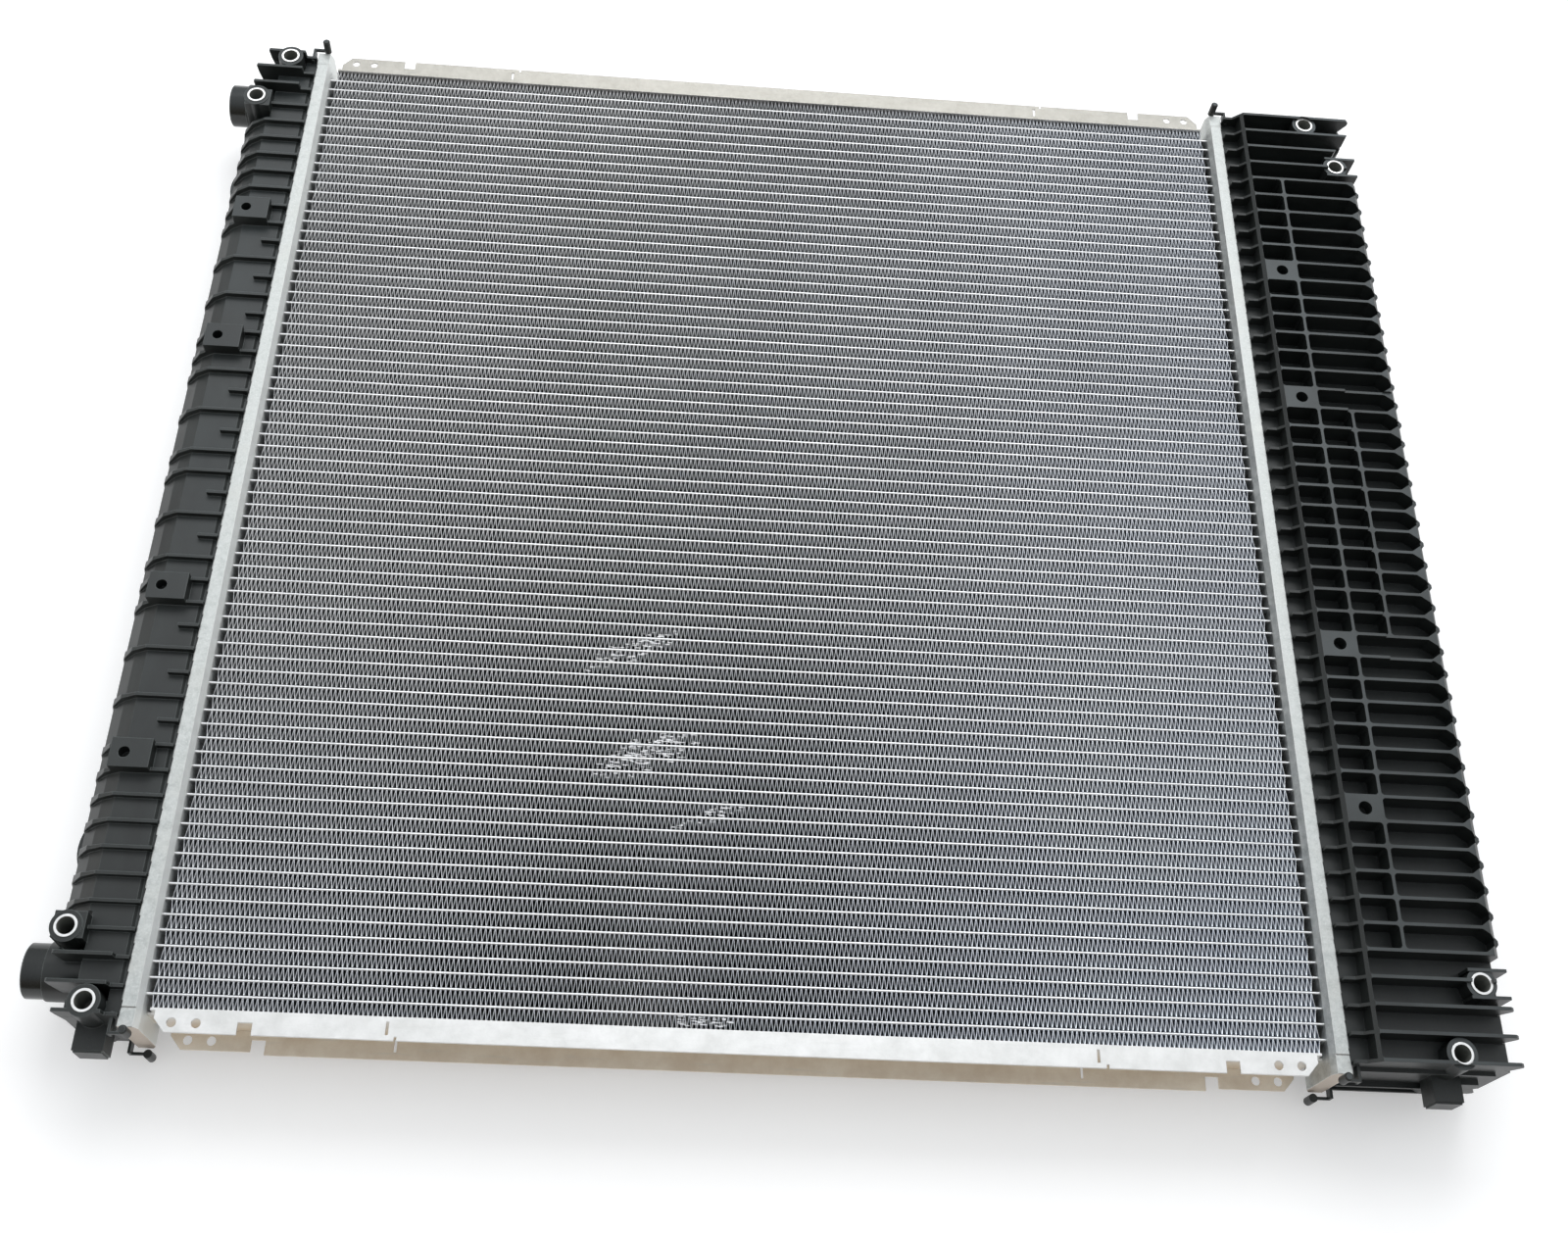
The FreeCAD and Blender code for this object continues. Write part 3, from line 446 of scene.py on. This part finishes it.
def crushed_fins(name, seed):
    """Thin flaps where the edges of some fins were knocked over and now lie across the gaps."""
    rng = np.random.default_rng(seed)
    low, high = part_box("fins_lower_pass")
    top = high.z - FIN_INSET
    verts, faces = [], []
    for mid_x, mid_y, run, wide, slope in CRUSHED:
        for row in range(ROWS_PER_PASS):
            y0 = low.y + row * ROW_PITCH
            for _ in range(int(2 * run / FIN_PERIOD) * FLAPS_PER_FOLD):
                x = mid_x + rng.uniform(-run, run)
                tall = rng.uniform(*FLAP_TALL)
                y = y0 + rng.uniform(0, FIN_HEIGHT - tall)
                off = (y + tall / 2 - mid_y - slope * (x - mid_x)) / wide
                along = (x - mid_x) / run
                if off * off + along * along > rng.uniform(0.1, 1.0):
                    continue
                reach = rng.uniform(*FLAP_LONG)
                z_a, z_b = top + 0.02 * MM, top - rng.uniform(0.02, 0.15) * MM
                flap = [(x, y, z_a), (x + reach, y, z_b), (x + reach, y + tall, z_b), (x, y + tall, z_a)]
                base = len(verts)
                verts += flap + [(vx, vy, vz - FLAP_SHEET) for vx, vy, vz in flap]
                faces += [[base + i for i in face] for face in BOX_FACES]
    mesh = bpy.data.meshes.new(name)
    mesh.from_pydata(verts, [], faces)
    obj = bpy.data.objects.new(name, mesh)
    bpy.context.scene.collection.objects.link(obj)
    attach(obj, "radiator")
    return obj


def paint(obj, material):
    if not obj.material_slots:
        obj.data.materials.append(material)
    for s in obj.material_slots:
        s.link = "OBJECT"
        s.material = material


fin_look = fin_metal()
for sheet_name, fin_node, fin_seed in (("fin_strips_upper", "fins_upper_pass", 11),
                                       ("fin_strips_lower", "fins_lower_pass", 12)):
    paint(fin_sheet(sheet_name, fin_node, fin_seed), fin_look)

paint(crushed_fins("fin_flaps", 13), bare_metal())

LOOKS = {
    "tube": tube_metal(), "header": header_metal(), "side_plate": plate_metal(),
    "tank_left": nylon(fade=(0.12, 0.80), edge_gain=0.6, stub_x=-0.575),
    "tank_right": nylon("black_moulding_wide", (0.108, 0.1125), (1.1, 1.8), 0.06, 0.0006),
    "gasket": rubber(), "baffle_seal": rubber(), "drain_seal": rubber(),
    "pass_baffle": nylon("baffle_moulding"), "outer_sleeves": sleeve_metal(),
    "end_sleeves": sleeve_metal(), "drain_plug": plug_nylon(),
}
for node_name, obj in NODES.items():
    key = max((k for k in LOOKS if node_name.startswith(k)), key=len, default=None)
    if key:
        paint(obj, LOOKS[key])

# ---- floor, light, camera ----------------------------------------------------------------
floor_mesh = bpy.data.meshes.new("studio_floor")
floor_mesh.from_pydata([(-FLOOR, -FLOOR, 0), (FLOOR, -FLOOR, 0), (FLOOR, FLOOR, 0), (-FLOOR, FLOOR, 0)],
                       [], [(0, 1, 2, 3)])
floor = bpy.data.objects.new("studio_floor", floor_mesh)
floor.location.z = CAD_BOX[0][2] - FLOOR_GAP
bpy.context.scene.collection.objects.link(floor)
paint(floor, floor_paint())


def area_light(name, place, size, power):
    """A rectangular light that points at the middle of the floor under the part."""
    data = bpy.data.lights.new(name, "AREA")
    data.shape, data.size, data.size_y = "RECTANGLE", *size
    data.energy = power
    obj = bpy.data.objects.new(name, data)
    obj.location = place
    obj.rotation_euler = (-Vector(place)).to_track_quat("-Z", "Y").to_euler()
    bpy.context.scene.collection.objects.link(obj)


area_light("key_back", (0.2, 1.9, 2.9), (2.8, 1.6), 46)
area_light("side_left", (-2.6, -0.2, 1.0), (0.5, 1.8), 6)
area_light("side_right", (2.6, 0.2, 1.4), (0.8, 1.6), 4)


def soft_dome():
    """A dome that is bright overhead and behind, and darker and warmer towards the horizon in front."""
    world = bpy.data.worlds.new("studio")
    bpy.context.scene.world = world
    world.use_nodes = True
    tree = world.node_tree
    link, background = tree.links.new, tree.nodes["Background"]
    split = tree.nodes.new("ShaderNodeSeparateXYZ")
    link(tree.nodes.new("ShaderNodeTexCoord").outputs["Generated"], split.inputs[0])
    lean = tree.nodes.new("ShaderNodeMath")
    lean.operation = "MULTIPLY_ADD"
    lean.inputs[1].default_value = 0.35
    link(split.outputs["Y"], lean.inputs[0])
    link(split.outputs["Z"], lean.inputs[2])
    fade = tree.nodes.new("ShaderNodeMapRange")
    for key, value in (("From Min", -0.1), ("From Max", 1.05), ("To Min", 0.22), ("To Max", 1.05)):
        fade.inputs[key].default_value = value
    link(lean.outputs[0], fade.inputs["Value"])
    link(fade.outputs["Result"], background.inputs["Strength"])
    warmth = tree.nodes.new("ShaderNodeMapRange")
    warmth.inputs["From Min"].default_value, warmth.inputs["From Max"].default_value = -0.1, 0.5
    link(lean.outputs[0], warmth.inputs["Value"])
    hue = tree.nodes.new("ShaderNodeMix")
    hue.data_type = "RGBA"
    hue.inputs[6].default_value, hue.inputs[7].default_value = (1.0, 0.80, 0.62, 1), (0.94, 0.97, 1.0, 1)
    link(warmth.outputs["Result"], hue.inputs["Factor"])
    link(hue.outputs[2], background.inputs["Color"])


soft_dome()

cam_data = bpy.data.cameras.new("camera")
cam_data.lens, cam_data.sensor_width, cam_data.shift_y = CAM_LENS, CAM_SENSOR, CAM_SHIFT_Y
cam_data.clip_start, cam_data.clip_end = 0.05, 50.0
camera = bpy.data.objects.new("camera", cam_data)
turn = Matrix((CAM_RIGHT, CAM_UP, CAM_BACK)).transposed()
camera.matrix_world = Matrix.Translation(CAM_PLACE) @ turn.to_4x4()
bpy.context.scene.collection.objects.link(camera)
bpy.context.scene.camera = camera
bpy.context.scene.view_settings.view_transform = "Standard"

bpy.context.view_layer.update()
